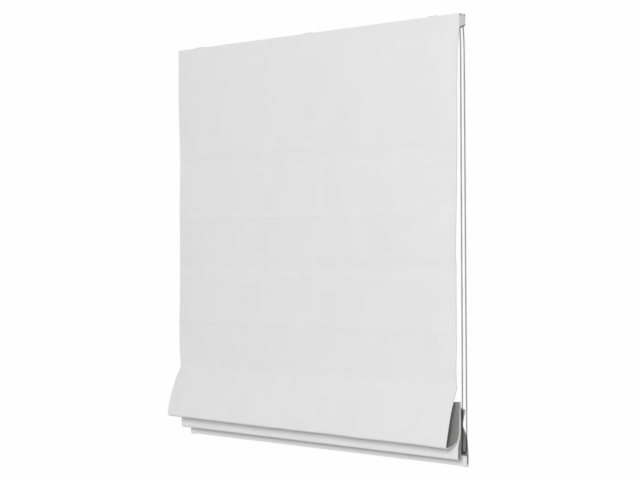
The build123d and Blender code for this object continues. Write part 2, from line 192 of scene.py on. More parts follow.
def grainGroup():
    # moulded, painted or drawn surfaces: colour drift, roughness drift and a fine relief
    inputs = [
        ("Vector", "NodeSocketVector", None),
        ("Stretch", "NodeSocketVector", (1.0, 1.0, 1.0)),
        ("Colour", "NodeSocketColor", (0.8, 0.8, 0.8, 1.0)),
        ("Shade", "NodeSocketColor", (0.7, 0.7, 0.7, 1.0)),
        ("Roughness", "NodeSocketFloat", 0.5),
        ("Drift", "NodeSocketFloat", 0.1),
    ]
    outputs = [
        ("Colour", "NodeSocketColor"),
        ("Roughness", "NodeSocketFloat"),
        ("Height", "NodeSocketFloat"),
    ]
    group, given, made = newGroup("surfaceGrain", inputs, outputs)
    place = scaledVector(group, given["Vector"], given["Stretch"])
    fine = noiseNode(group, place, 1.0, 3.0)
    broad = noiseNode(group, given["Vector"], 35.0, 4.0)
    group.links.new(fine, made["Height"])
    blend = mathNode(group, "MULTIPLY", mathNode(group, "ADD", fine, broad), 0.5)
    group.links.new(colourMix(group, blend, given["Colour"], given["Shade"]), made["Colour"])
    drift = mathNode(group, "MULTIPLY", mathNode(group, "SUBTRACT", blend, 0.5), given["Drift"])
    group.links.new(mathNode(group, "ADD", drift, given["Roughness"]), made["Roughness"])
    return group


plainWeave = weaveGroup()
hungCloth = wrinkleGroup()
surfaceGrain = grainGroup()


# ---- finishes
def startFinish(name, look):
    material = bpy.data.materials.new(name)
    material.use_nodes = True
    tree = material.node_tree
    shader = tree.nodes["Principled BSDF"]
    for label, value in look.get("shader", {}).items():
        shader.inputs[label].default_value = value
    coords = tree.nodes.new("ShaderNodeTexCoord")
    return material, tree, shader, coords


def placeGroup(tree, group, vector, values):
    node = tree.nodes.new("ShaderNodeGroup")
    node.node_tree = group
    tree.links.new(vector, node.inputs["Vector"])
    for label, value in values.items():
        node.inputs[label].default_value = value
    return node


def bumpNode(tree, height, distance, strength=1.0, normal=None):
    node = tree.nodes.new("ShaderNodeBump")
    node.inputs["Distance"].default_value = distance
    node.inputs["Strength"].default_value = strength
    tree.links.new(height, node.inputs["Height"])
    if normal is not None:
        tree.links.new(normal, node.inputs["Normal"])
    return node.outputs["Normal"]


def grey(value, warm=0.0):
    return (value + warm, value, value - warm, 1.0)


def clothFinish(name, look):
    material, tree, shader, coords = startFinish(name, look)
    hung = placeGroup(tree, hungCloth, coords.outputs["UV"], {
        "Colour": look["colour"],
        "Shade": look["shade"],
        "Mottle": look["mottle"],
        "Scale": look["wrinkleScale"],
    })
    weave = placeGroup(tree, plainWeave, coords.outputs["UV"], {
        "Threads": look["threads"],
        "Slub": look["slub"],
        "Shade": look["shade"],
    })
    tree.links.new(hung.outputs["Colour"], weave.inputs["Colour"])
    tree.links.new(weave.outputs["Colour"], shader.inputs["Base Color"])
    broad = bumpNode(tree, hung.outputs["Height"], look["wrinkleDepth"])
    normal = bumpNode(tree, weave.outputs["Height"], look["weaveDepth"], 0.6, broad)
    tree.links.new(normal, shader.inputs["Normal"])
    return material


def grainFinish(name, look):
    material, tree, shader, coords = startFinish(name, look)
    grain = placeGroup(tree, surfaceGrain, coords.outputs["Object"], {
        "Stretch": look["stretch"],
        "Colour": look["colour"],
        "Shade": look["shade"],
        "Roughness": look["roughness"],
        "Drift": look["drift"],
    })
    tree.links.new(grain.outputs["Colour"], shader.inputs["Base Color"])
    tree.links.new(grain.outputs["Roughness"], shader.inputs["Roughness"])
    normal = bumpNode(tree, grain.outputs["Height"], look["relief"])
    tree.links.new(normal, shader.inputs["Normal"])
    return material


faceLook = {
    "colour": grey(0.78),
    "shade": grey(0.70),
    "mottle": 0.5,
    "threads": 1500.0,
    "slub": 0.35,
    "weaveDepth": 0.00012,
    "wrinkleScale": (5.0, 2.6, 1.0),
    "wrinkleDepth": 0.0035,
    "shader": {"Roughness": 0.92, "Sheen Weight": 0.12, "Sheen Roughness": 0.5},
}
liningLook = {
    "colour": grey(0.30, 0.002),
    "shade": grey(0.20),
    "mottle": 0.9,
    "threads": 1900.0,
    "slub": 0.25,
    "weaveDepth": 0.0001,
    "wrinkleScale": (16.0, 9.0, 1.0),
    "wrinkleDepth": 0.004,
    "shader": {"Roughness": 0.85, "Sheen Weight": 0.08},
}
# mid grey for the folds' side edges: painted shade on edges that sit in the shadow of the other layers
edgeShadeLook = dict(liningLook, colour=grey(0.42), shade=grey(0.3))
tapeLook = dict(liningLook, colour=grey(0.5), shade=grey(0.38), threads=1200.0)
touchLook = dict(faceLook, colour=grey(0.72), shade=grey(0.5), threads=700.0, weaveDepth=0.0005)
cordLook = dict(
    faceLook,
    colour=grey(0.78, 0.01),
    shade=grey(0.58),
    threads=1600.0,
    weaveDepth=0.0003,
    wrinkleScale=(300.0, 300.0, 300.0),
    wrinkleDepth=0.0002,
)


def grainLook(colour, shade, roughness, relief, stretch, metallic=0.0, **more):
    return {
        "colour": colour,
        "shade": shade,
        "roughness": roughness,
        "relief": relief,
        "stretch": stretch,
        "drift": more.pop("drift", 0.12),
        "shader": dict({"Metallic": metallic}, **more),
    }


even = (900.0, 900.0, 900.0)
drawnX = (6.0, 2600.0, 2600.0)  # drawn or extruded along the blind
clothFace = clothFinish("clothFace", faceLook)
clothLining = clothFinish("clothLining", liningLook)
paintedEdgeShade = clothFinish("paintedEdgeShade", edgeShadeLook)
liningTape = clothFinish("liningTape", tapeLook)
touchTape = clothFinish("touchTape", touchLook)
braidedCord = clothFinish("braidedCord", cordLook)
grainLooks = {
    "sewingThread": grainLook(grey(0.82), grey(0.66), 0.6, 0.0002, even),
    "powderWhite": grainLook(grey(0.80), grey(0.76), 0.42, 0.00004, (1400.0,) * 3),
    "mouldedWhite": grainLook(grey(0.80), grey(0.74), 0.45, 0.00005, even),
    "mouldedGrey": grainLook(grey(0.16), grey(0.11), 0.5, 0.00006, even),
    "blackScrew": grainLook(grey(0.05), grey(0.025), 0.38, 0.00003, even, 0.9),
    "paintedSteel": grainLook(grey(0.72), grey(0.64), 0.4, 0.00005, (700.0,) * 3),
    "millShaft": grainLook(grey(0.62), grey(0.48), 0.32, 0.00002, drawnX, 1.0),
    "coatedRod": grainLook(grey(0.70), grey(0.58), 0.4, 0.00003, drawnX),
    "beadGrey": grainLook(grey(0.012), grey(0.006), 0.6, 0.00004, even),
    "millBar": grainLook(grey(0.66), grey(0.52), 0.36, 0.00002, drawnX, 1.0),
    "clearRing": grainLook(grey(0.86), grey(0.8), 0.14, 0.00001, even, 0.0, IOR=1.49),
}
grainLooks["clearRing"]["shader"]["Transmission Weight"] = 0.75
grainLooks["beadGrey"]["shader"]["Specular IOR Level"] = 0.15
finishes = {name: grainFinish(name, look) for name, look in grainLooks.items()}
print("finishes made:", len(finishes) + 5)


# ---- finishes on the hard pieces kept from the CAD
keptFinish = {
    "head_rail": "powderWhite",
    "end_cap_left": "mouldedWhite",
    "drive_housing": "mouldedWhite",
    "drive_cover": "mouldedWhite",
    "cover_screws": "blackScrew",
    "chain_guide": "mouldedGrey",
    "chain_wheel": "mouldedGrey",
    "shaft_journal": "mouldedWhite",
    "drive_shaft": "millShaft",
    "mount_bracket": "paintedSteel",
    "lift_spool": "mouldedWhite",
    "spool_cradle": "mouldedWhite",
    "stiffening_rod": "coatedRod",
    "cord_rings": "clearRing",
    "cord_toggles": "mouldedWhite",
    "bottom_bar": "millBar",
    "bar_end_caps": "mouldedWhite",
}
for nodeName, node in nodes.items():
    for start, finishName in keptFinish.items():
        if nodeName.startswith(start):
            node.data.materials.clear()
            node.data.materials.append(finishes[finishName])
print("kept pieces finished")


# ---- the cloth
cloth = {
    "topHalf": 0.599,
    "lowHalf": 0.5915,
    "faceY": -0.0168,
    "thickness": 0.0016,
    "top": -0.0025,
    "headBottom": -0.0415,
    "seam": -1.0925,
    "rods": (-0.4025, -0.7505, -1.0985),
    "midCreases": (-0.5875, -0.9365),
    "hemWidth": 0.016,
    "hemExtra": 0.0014,  # the turned-in hem's added thickness
    "hemEase": 0.0012,
    "seamDip": (0.003, 0.0016, 0.0003),  # the hem's seam: place from its edge, width and depth
    "billow": 0.0028,
    "ridge": 0.0018,
    "crease": (-0.016, -1.0985),
    "creaseTilt": (-0.003, 0.006),  # crease height at the left and right ends
    "leftEdge": [  # height and half width
        (-0.03, 0.599),
        (-0.4, 0.5915),
        (-0.8, 0.593),
        (-1.02, 0.5955),
        (-1.09, 0.5915),
    ],
    "rightEdge": [
        (-0.03, 0.599),
        (-0.12, 0.5925),
        (-0.26, 0.5902),
        (-0.56, 0.5878),
        (-0.69, 0.5845),
        (-0.83, 0.5862),
        (-0.97, 0.5868),
        (-1.06, 0.5845),
    ],
    "leftFold": [  # length along the folded cloth and half width
        (0.0, 0.5915),
        (0.008, 0.591),
        (0.05, 0.595),
        (0.174, 0.597),
        (0.191, 0.588),
        (0.208, 0.588),
        (0.6, 0.5855),
        (0.8, 0.584),
    ],
    "rightFold": [(0.0, 0.5845), (0.006, 0.589), (0.12, 0.5905), (0.19, 0.5885), (0.25, 0.5915)],
    "flapKnee": (-0.0438, -0.094),
    "creaseBend": 0.003,
    "ripple": 0.0012,
    "looseRipple": 0.0022,
    "foldLength": 0.898,
    "columns": 138,
}
middleY = cloth["faceY"] + cloth["thickness"] / 2


def between(value, low, high):
    part = max(0.0, min(1.0, (value - low) / (high - low)))
    return part * part * (3 - 2 * part)


def alongMarks(marks, value):
    # eased steps through (place, size) pairs that run one way
    for (here, wide), (there, narrow) in zip(marks, marks[1:]):
        part = (value - here) / (there - here)
        if part < 1:
            break
    return wide + (narrow - wide) * between(part, 0.0, 1.0)


def halfWidthAt(side, z):
    # the cloth narrows a little from the head down, and its hems wander
    return alongMarks(cloth["rightEdge" if side > 0 else "leftEdge"], z)


def softStep(value, width):
    return 0.5 * (value + math.sqrt(value * value + width * width))


def creaseHeight(side):
    low, high = cloth["creaseTilt"]
    return cloth["crease"][1] + low + (high - low) * (side + 1) / 2


def flapSlope(side):
    run = creaseHeight(side) - (cloth["crease"][1] + cloth["flapKnee"][1])
    return cloth["flapKnee"][0] / run


def hangY(side, z):
    # middle line of the hanging cloth and of the start of the front fold; side is -1 to 1
    drop = creaseHeight(side) - z
    bend = softStep(drop, cloth["creaseBend"]) if drop > -0.02 else 0.0
    return middleY + flapSlope(side) * bend


def swell(side, z):
    # how far the cloth stands forward of its middle line between its sewn rods
    marks = [cloth["headBottom"], *cloth["rods"]]
    depth = 0.0
    for upper, lower in zip(marks, marks[1:]):
        if lower < z < upper:
            part = (upper - z) / (upper - lower)
            depth = cloth["billow"] * math.sin(math.pi * part) ** 0.8
    for crease in cloth["midCreases"]:
        depth += cloth["ridge"] * math.exp(-abs(z - crease) / 0.016)
    edge = 1 - 0.5 * between(abs(side), 0.9, 1.0)
    ripple = noise.noise(Vector((side * 3.1, z * 5.0, 4.7)))
    ripple += 0.5 * noise.noise(Vector((side * 9.0, z * 12.0, 1.3)))
    inside = between(cloth["headBottom"] - z, 0.0, 0.05)
    for rod in cloth["rods"]:
        inside *= between(abs(z - rod), 0.004, 0.036)
    return (depth * edge + cloth["ripple"] * (ripple + 0.6)) * inside


def sheetMesh(name, stations, sides, hem=True, selfFaced=0, shadedEdgeRows=None, paintedShadeFrom=None):
    # stations[row][column] = (x, y, z, normalY, normalZ, length along); closed all round
    vertices = []
    faces = []
    finishIndex = []
    uvs = []
    half = cloth["thickness"] / 2
    rows = len(stations)
    columns = len(sides)
    for layer in (-1, 1):
        for row in stations:
            for column, (x, y, z, ny, nz, s) in enumerate(row):
                reach = half
                if layer > 0 and hem:
                    fromEdge = (1 - abs(sides[column])) * abs(row[-1][0])
                    ease = cloth["hemWidth"] - cloth["hemEase"]
                    fold = 1 - between(fromEdge, ease, cloth["hemWidth"])
                    reach += cloth["hemExtra"] * fold
                if layer < 0 and hem:
                    fromEdge = (1 - abs(sides[column])) * abs(row[-1][0])
                    seamPlace, seamWidth, seamDepth = cloth["seamDip"]
                    sewn = abs(fromEdge - cloth["hemWidth"] + seamPlace)
                    reach -= seamDepth * math.exp(-((sewn / seamWidth) ** 2))
                if abs(sides[column]) > 0.9999:
                    reach = half * 0.3 if layer < 0 else half * 0.3 + cloth["hemExtra"] * hem
                vertices.append((x, y + layer * ny * reach, z + layer * nz * reach))
                uvs.append((x, s))
    size = rows * columns
    for layer in (0, 1):
        for r in range(rows - 1):
            for c in range(columns - 1):
                a = layer * size + r * columns + c
                quad = (a, a + columns, a + columns + 1, a + 1)
                faces.append(quad if layer == 0 else quad[::-1])
                # past the given start row the face side takes the dark lining finish as well: painted
                # shade for the deep gap behind the layers in front
                liningAndPaintedShade = layer == 1 or (paintedShadeFrom is not None and r > paintedShadeFrom)
                finishIndex.append(1 if liningAndPaintedShade and r < rows - selfFaced else 0)
    rim = [c for c in range(columns)]
    rim += [r * columns + columns - 1 for r in range(1, rows)]
    rim += [(rows - 1) * columns + c for c in range(columns - 2, -1, -1)]
    rim += [r * columns for r in range(rows - 2, 0, -1)]
    for here, there in zip(rim, rim[1:] + rim[:1]):
        faces.append((here, there, size + there, size + here))
        # rim faces in these rows take the grey edge finish: painted shade on the folds' side edges
        inner = here // columns in range(*shadedEdgeRows) if shadedEdgeRows else False
        finishIndex.append(2 if inner else 0)
    mesh = bpy.data.meshes.new(name)
    mesh.from_pydata(vertices, [], faces)
    mesh.materials.append(clothFace)
    mesh.materials.append(clothLining)
    mesh.materials.append(paintedEdgeShade)
    mesh.polygons.foreach_set("material_index", finishIndex)
    mesh.polygons.foreach_set("use_smooth", [True] * len(faces))
    layer = mesh.uv_layers.new(name="clothUV")
    for loop in mesh.loops:
        layer.data[loop.index].uv = uvs[loop.vertex_index]
    mesh.set_sharp_from_angle(angle=math.radians(55))
    piece = bpy.data.objects.new(name, mesh)
    bpy.context.collection.objects.link(piece)
    return piece


def sideStations(count):
    # columns: even across the middle, with close ones where the side hems turn
    hem = 1 - cloth["hemWidth"] / cloth["lowHalf"]
    near = [hem - 0.004, hem - 0.0021, hem, hem + 0.002, hem + 0.005, hem + 0.008]
    near += [hem + 0.014, 0.994, 0.9985, 0.99965, 1.0]
    inner = [-1 + 2 * i / (count - 1) for i in range(count)]
    inner = [s for s in inner if abs(s) < hem - 0.008]
    return sorted([-s for s in near] + inner + near)


sides = sideStations(cloth["columns"])


def hangingRows(low, high, count):
    rows = []
    for i in range(count):
        z = high + (low - high) * i / (count - 1)
        row = []
        for side in sides:
            y = hangY(side, z) - swell(side, z)
            step = 0.0005
            above = hangY(side, z + step) - swell(side, z + step)
            below = hangY(side, z - step) - swell(side, z - step)
            slope = (above - below) / (2 * step)
            length = math.sqrt(1 + slope * slope)
            row.append((side * halfWidthAt(side, z), y, z, 1 / length, -slope / length, -z))
        rows.append(row)
    return rows


faceHead = sheetMesh("face_cloth_head", hangingRows(cloth["headBottom"], cloth["top"], 12), sides)
faceDrop = sheetMesh("face_cloth_drop", hangingRows(cloth["seam"], cloth["headBottom"], 230), sides)
print("hanging cloth made")

# the gathered folds: corners from the third rod's crease in Y and Z, and the radius there
foldCorners = [
    (-0.0438, -0.0940, 0.420),
    (-0.0573, -0.1750, 0.006),  # lower edge of the front fold
    (0.0037, -0.1630, 0.036),
    (0.0082, -0.0460, 0.0015),  # over the fourth rod
    (0.0112, -0.0460, 0.0015),
    (0.0114, -0.1400, 0.020),
    (-0.0002, -0.1720, 0.020),
    (-0.0012, -0.2130, 0.005),  # lower edge of the second fold
    (0.0118, -0.2130, 0.005),
    (0.0147, -0.1540, 0.060),
    (0.0157, -0.1110, 0.040),
    (0.0311, -0.0695, 0.0014),  # over the fifth rod
    (0.0341, -0.0695, 0.0014),
    (0.0197, -0.1130, 0.020),
    (0.0432, -0.1500, 0.060),
    (0.0498, -0.2020, 0.060),  # behind the bar
    (0.0498, -0.2362, 0.0016),
    (0.0436, -0.2362, 0.0016),
    (0.0436, -0.2080, 0.0016),
    (0.0356, -0.2050, 0.0),
]
leftShift = {  # how far the left end's corners stand from the right end's, in Y and Z
    1: (0.0, 0.006),
    7: (0.0, 0.003),
    8: (0.0, 0.003),
}
turnSteps = 8
runStep = 0.004
flapStart = {"length": 0.038, "steps": 13}  # the first straight part, below the seam
fifthRodCorner = 12
edgeShadeStart = 70  # the row from which the folds' side edges take the grey edge finish: painted shade on edges in the shadow of the other layers


def sectionAt(side, steps=None):
    corners = []
    part = (1 - side) / 2
    for i, (y, z, radius) in enumerate(foldCorners):
        dy, dz = leftShift.get(i, (0.0, 0.0))
        place = (cloth["crease"][0] + y + dy * part, cloth["crease"][1] + z + dz * part)
        corners.append((Vector(place), radius))
    line = []
    for i in range(flapStart["steps"] + 1):
        z = cloth["seam"] - flapStart["length"] * i / flapStart["steps"]
        line.append(Vector((hangY(side, z), z)))
    counted = []
    for i, (corner, radius) in enumerate(corners[:-1]):
        before = line[-1]
        inward = (corner - (corners[i - 1][0] if i else before)).normalized()
        outward = (corners[i + 1][0] - corner).normalized()
        turn = math.atan2(
            inward.x * outward.y - inward.y * outward.x, inward.dot(outward)
        )
        reach = radius * math.tan(abs(turn) / 2)
        start = corner - inward * reach
        sign = 1 if turn > 0 else -1
        centre = start + Vector((-inward.y, inward.x)) * radius * sign
        number = steps[i] if steps else max(2, round((start - before).length / runStep))
        counted.append(number)
        for k in range(1, number + 1):
            line.append(before.lerp(start, k / number))
        arm = start - centre
        for k in range(1, turnSteps + 1):
            angle = turn * k / turnSteps
            cosine, sine = math.cos(angle), math.sin(angle)
            spun = Vector((arm.x * cosine - arm.y * sine, arm.x * sine + arm.y * cosine))
            line.append(centre + spun)
    before = line[-1]
    for k in range(1, 4):
        line.append(before.lerp(corners[-1][0], k / 3))
    return line, counted


rightLine, runCounts = sectionAt(1.0)


def foldRows():
    columns = []
    for side in sides:
        line = sectionAt(side, runCounts)[0]
        length = 0.0
        column = []
        for i, point in enumerate(line):
            if i:
                length += (point - line[i - 1]).length
            before = line[max(0, i - 1)]
            after = line[min(len(line) - 1, i + 1)]
            along = (after - before).normalized()
            if i == 0:
                step = Vector((hangY(side, cloth["seam"] - 0.0005), cloth["seam"] - 0.0005))
                back = Vector((hangY(side, cloth["seam"] + 0.0005), cloth["seam"] + 0.0005))
                along = (step - back).normalized()
            normal = Vector((-along.y, along.x))
            loose = between(length, 0.02, 0.08) * (1 - between(length, 0.20, 0.24))
            ripple = noise.noise(Vector((side * 2.6, length * 7.0, 8.1)))
            ripple += 0.4 * noise.noise(Vector((side * 8.0, length * 14.0, 2.2)))
            point = point - normal * cloth["looseRipple"] * ripple * loose
            reach = alongMarks(cloth["rightFold" if side > 0 else "leftFold"], length)
            place = (side * reach, point.x, point.y)
            column.append((*place, normal.x, normal.y, -cloth["seam"] + length))
        columns.append(column)
    return [[column[i] for column in columns] for i in range(len(rightLine))]


foldedRows = foldRows()
hemRows = 3 + 3 * turnSteps + sum(runCounts[-2:]) + 2
# from the fifth rod down to the hem the last panel's face side takes the dark lining finish: painted
# shade for the narrow gap behind the second fold
lastPanelShadeStart = flapStart["steps"] + sum(runCounts[: fifthRodCorner + 1])
lastPanelShadeStart += (fifthRodCorner + 1) * turnSteps
foldedCloth = sheetMesh(
    "face_cloth_folds",
    foldedRows,
    sides,
    selfFaced=hemRows,
    shadedEdgeRows=(edgeShadeStart, len(foldedRows) - hemRows),
    paintedShadeFrom=lastPanelShadeStart,
)
print("folds made, stations", len(rightLine))


# ---- rod pockets: strips of lining tape sewn to the cloth and looped round the rods
pocket = {
    "halfLength": 0.5785,
    "inner": 0.0024,
    "thickness": 0.0006,
    "flange": 0.0068,
    "backY": -0.0151,
    "rodY": -0.0116,
}
rodPlaces = [(pocket["rodY"], z) for z in cloth["rods"]] + [(-0.0004, -1.1510), (0.0174, -1.1636)]


def pocketSection(place, flat):
    y, z = place
    points = []
    radius = pocket["inner"] + pocket["thickness"] / 2
    if flat:
        wall = pocket["backY"] + pocket["thickness"] / 2
        points.append((wall, z + pocket["flange"]))
        points.append((wall, z + 0.0045))
        points.append((wall + 0.0004, z + 0.0036))
        for i in range(11):
            angle = math.radians(118 - 236 * i / 10)
            points.append((y + radius * math.cos(angle), z + radius * math.sin(angle)))
        points.append((wall + 0.0004, z - 0.0036))
        points.append((wall, z - 0.0045))
        points.append((wall, z - pocket["flange"]))
        return points
    for i in range(17):
        angle = math.radians(200 + 356 * i / 16)
        points.append((y + radius * math.cos(angle), z + radius * math.sin(angle)))
    return points


def stripMesh(name, section, halfLength, thickness, count, finish):
    # a strip of cloth or tape with its section drawn in Y and Z, run along X
    vertices = []
    faces = []
    uvs = []
    normals = []
    for i, (y, z) in enumerate(section):
        ahead = section[min(i + 1, len(section) - 1)]
        behind = section[max(i - 1, 0)]
        run = Vector((ahead[0] - behind[0], ahead[1] - behind[1])).normalized()
        normals.append((-run.y, run.x))
    rows = len(section)
    for layer in (-0.5, 0.5):
        length = 0.0
        for i, (y, z) in enumerate(section):
            if i:
                length += math.dist(section[i], section[i - 1])
            ny, nz = normals[i]
            for c in range(count):
                x = -halfLength + 2 * halfLength * c / (count - 1)
                drift = 0.00012 * noise.noise(Vector((x * 60, y * 400, z * 400)))
                reach = layer * thickness + drift
                vertices.append((x, y + ny * reach, z + nz * reach))
                uvs.append((x, length))
    size = rows * count
    for layer in (0, 1):
        for r in range(rows - 1):
            for c in range(count - 1):
                a = layer * size + r * count + c
                quad = (a, a + count, a + count + 1, a + 1)
                faces.append(quad if layer == 0 else quad[::-1])
    rim = [c for c in range(count)]
    rim += [r * count + count - 1 for r in range(1, rows)]
    rim += [(rows - 1) * count + c for c in range(count - 2, -1, -1)]
    rim += [r * count for r in range(rows - 2, 0, -1)]
    for here, there in zip(rim, rim[1:] + rim[:1]):
        faces.append((here, there, size + there, size + here))
    mesh = bpy.data.meshes.new(name)
    mesh.from_pydata(vertices, [], faces)
    mesh.materials.append(finish)
    mesh.polygons.foreach_set("use_smooth", [True] * len(faces))
    layer = mesh.uv_layers.new(name="clothUV")
    for loop in mesh.loops:
        layer.data[loop.index].uv = uvs[loop.vertex_index]
    mesh.set_sharp_from_angle(angle=math.radians(50))
    piece = bpy.data.objects.new(name, mesh)
    bpy.context.collection.objects.link(piece)
    return piece


rodBodies = ["rod_1", "rod_2", "stack", "stack", "stack"]
pockets = []
for i, place in enumerate(rodPlaces):
    section = pocketSection(place, i < 3)
    strip = stripMesh(
        f"pocket_{i + 1}", section, pocket["halfLength"], pocket["thickness"], 90, liningTape
    )
    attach(strip, rodBodies[i])
    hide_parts(f"rod_pocket_{i + 1}")
    pockets.append(strip)
print("rod pockets made")

# ---- touch tape on the rail
touch = {"halfLength": 0.582, "low": -0.0375, "high": -0.0135}
for name, y, node in (("hook_strip", -0.0137, "hook_tape"), ("loop_strip", -0.0147, "loop_tape")):
    section = [(y, touch["high"] + (touch["low"] - touch["high"]) * i / 8) for i in range(9)]
    strip = stripMesh(name, section, touch["halfLength"], 0.0009, 120, touchTape)
    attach(strip, "head")
    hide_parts(node)
print("touch tapes made")


# ---- Geometry Nodes: rows of stitches, beads on a line, and cord wound on a spool
def newTree(name, inputs):
    tree = bpy.data.node_groups.new(name, "GeometryNodeTree")
    tree.interface.new_socket("Geometry", in_out="INPUT", socket_type="NodeSocketGeometry")
    for label, kind, value in inputs:
        socket = tree.interface.new_socket(label, in_out="INPUT", socket_type=kind)
        if value is not None:
            socket.default_value = value
    tree.interface.new_socket("Geometry", in_out="OUTPUT", socket_type="NodeSocketGeometry")
    start = tree.nodes.new("NodeGroupInput")
    end = tree.nodes.new("NodeGroupOutput")
    return tree, start.outputs, end.inputs


def linkedNode(tree, kind, links, values=None, settings=None):
    node = tree.nodes.new(kind)
    for label, value in (settings or {}).items():
        setattr(node, label, value)
    for label, value in (values or {}).items():
        node.inputs[label].default_value = value
    for label, source in links.items():
        tree.links.new(source, node.inputs[label])
    return node


def closeTree(tree, geometry, finish, made):
    real = linkedNode(tree, "GeometryNodeRealizeInstances", {"Geometry": geometry})
    painted = linkedNode(
        tree, "GeometryNodeSetMaterial", {"Geometry": real.outputs[0], "Material": finish}
    )
    tree.links.new(painted.outputs[0], made["Geometry"])


def stitchTree():
    inputs = [
        ("Pitch", "NodeSocketFloat", 0.0036),
        ("Stitch length", "NodeSocketFloat", 0.0026),
        ("Thread radius", "NodeSocketFloat", 0.00022),
        ("Finish", "NodeSocketMaterial", None),
    ]
    tree, given, made = newTree("stitchRow", inputs)
    spaced = linkedNode(
        tree,
        "GeometryNodeResampleCurve",
        {"Curve": given["Geometry"], "Length": given["Pitch"]},
        settings={"mode": "LENGTH"},
    )
    points = linkedNode(
        tree, "GeometryNodeCurveToPoints", {"Curve": spaced.outputs[0]}, settings={"mode": "EVALUATED"}
    )
    ball = tree.nodes.new("GeometryNodeMeshIcoSphere")
    ball.inputs["Radius"].default_value = 1.0
    ball.inputs["Subdivisions"].default_value = 1
    halfLength = linkedNode(
        tree, "ShaderNodeMath", {0: given["Stitch length"]}, {1: 0.5}, {"operation": "MULTIPLY"}
    )
    size = linkedNode(
        tree,
        "ShaderNodeCombineXYZ",
        {"X": given["Thread radius"], "Y": given["Thread radius"], "Z": halfLength.outputs[0]},
    )
    placed = linkedNode(
        tree,
        "GeometryNodeInstanceOnPoints",
        {
            "Points": points.outputs["Points"],
            "Instance": ball.outputs["Mesh"],
            "Rotation": points.outputs["Rotation"],
            "Scale": size.outputs[0],
        },
    )
    closeTree(tree, placed.outputs[0], given["Finish"], made)
    return tree


def beadTree():
    inputs = [
        ("Pitch", "NodeSocketFloat", 0.006),
        ("Bead radius", "NodeSocketFloat", 0.0028),
        ("Bead half length", "NodeSocketFloat", 0.0019),
        ("Link radius", "NodeSocketFloat", 0.0003),
        ("Finish", "NodeSocketMaterial", None),
    ]
    tree, given, made = newTree("beadsOnCord", inputs)
    spaced = linkedNode(
        tree,
        "GeometryNodeResampleCurve",
        {"Curve": given["Geometry"], "Length": given["Pitch"]},
        settings={"mode": "LENGTH"},
    )
    points = linkedNode(
        tree, "GeometryNodeCurveToPoints", {"Curve": spaced.outputs[0]}, settings={"mode": "EVALUATED"}
    )
    ball = tree.nodes.new("GeometryNodeMeshUVSphere")
    ball.inputs["Segments"].default_value = 10
    ball.inputs["Rings"].default_value = 7
    ball.inputs["Radius"].default_value = 1.0
    smooth = linkedNode(tree, "GeometryNodeSetShadeSmooth", {"Geometry": ball.outputs["Mesh"]})
    across = given["Bead radius"]
    along = given["Bead half length"]
    size = linkedNode(tree, "ShaderNodeCombineXYZ", {"X": across, "Y": across, "Z": along})
    placed = linkedNode(
        tree,
        "GeometryNodeInstanceOnPoints",
        {
            "Points": points.outputs["Points"],
            "Instance": smooth.outputs[0],
            "Rotation": points.outputs["Rotation"],
            "Scale": size.outputs[0],
        },
    )
    ring = tree.nodes.new("GeometryNodeCurvePrimitiveCircle")
    ring.inputs["Resolution"].default_value = 6
    tree.links.new(given["Link radius"], ring.inputs["Radius"])
    core = linkedNode(
        tree,
        "GeometryNodeCurveToMesh",
        {"Curve": spaced.outputs[0], "Profile Curve": ring.outputs["Curve"]},
        {"Fill Caps": True},
    )
    both = tree.nodes.new("GeometryNodeJoinGeometry")
    tree.links.new(placed.outputs[0], both.inputs[0])
    tree.links.new(core.outputs[0], both.inputs[0])
    closeTree(tree, both.outputs[0], given["Finish"], made)
    return tree


def windingTree():
    inputs = [
        ("Turns", "NodeSocketFloat", 17.0),
        ("Coil radius", "NodeSocketFloat", 0.0061),
        ("Cord radius", "NodeSocketFloat", 0.00058),
        ("Length", "NodeSocketFloat", 0.0205),
        ("Finish", "NodeSocketMaterial", None),
    ]
    tree, given, made = newTree("woundCord", inputs)
    coil = linkedNode(
        tree,
        "GeometryNodeCurveSpiral",
        {
            "Rotations": given["Turns"],
            "Start Radius": given["Coil radius"],
            "End Radius": given["Coil radius"],
            "Height": given["Length"],
        },
        {"Resolution": 20},
    )
    ring = tree.nodes.new("GeometryNodeCurvePrimitiveCircle")
    ring.inputs["Resolution"].default_value = 7
    tree.links.new(given["Cord radius"], ring.inputs["Radius"])
    cord = linkedNode(
        tree,
        "GeometryNodeCurveToMesh",
        {"Curve": coil.outputs[0], "Profile Curve": ring.outputs["Curve"]},
        {"Fill Caps": True},
    )
    smooth = linkedNode(tree, "GeometryNodeSetShadeSmooth", {"Geometry": cord.outputs[0]})
    placed = linkedNode(
        tree,
        "GeometryNodeInstanceOnPoints",
        {"Points": given["Geometry"], "Instance": smooth.outputs[0]},
        {"Rotation": (0.0, math.radians(90), 0.0)},
    )
    closeTree(tree, placed.outputs[0], given["Finish"], made)
    return tree


stitchRow = stitchTree()
beadsOnCord = beadTree()
woundCord = windingTree()


def curveObject(name, lines, kind="POLY"):
    data = bpy.data.curves.new(name, "CURVE")
    data.dimensions = "3D"
    for line in lines:
        spline = data.splines.new(kind)
        spline.points.add(len(line) - 1)
        for point, place in zip(spline.points, line):
            point.co = (*place, 1.0)
        if kind == "NURBS":
            spline.order_u = 3
            spline.use_endpoint_u = True
            spline.resolution_u = 12
    piece = bpy.data.objects.new(name, data)
    bpy.context.collection.objects.link(piece)
    return piece


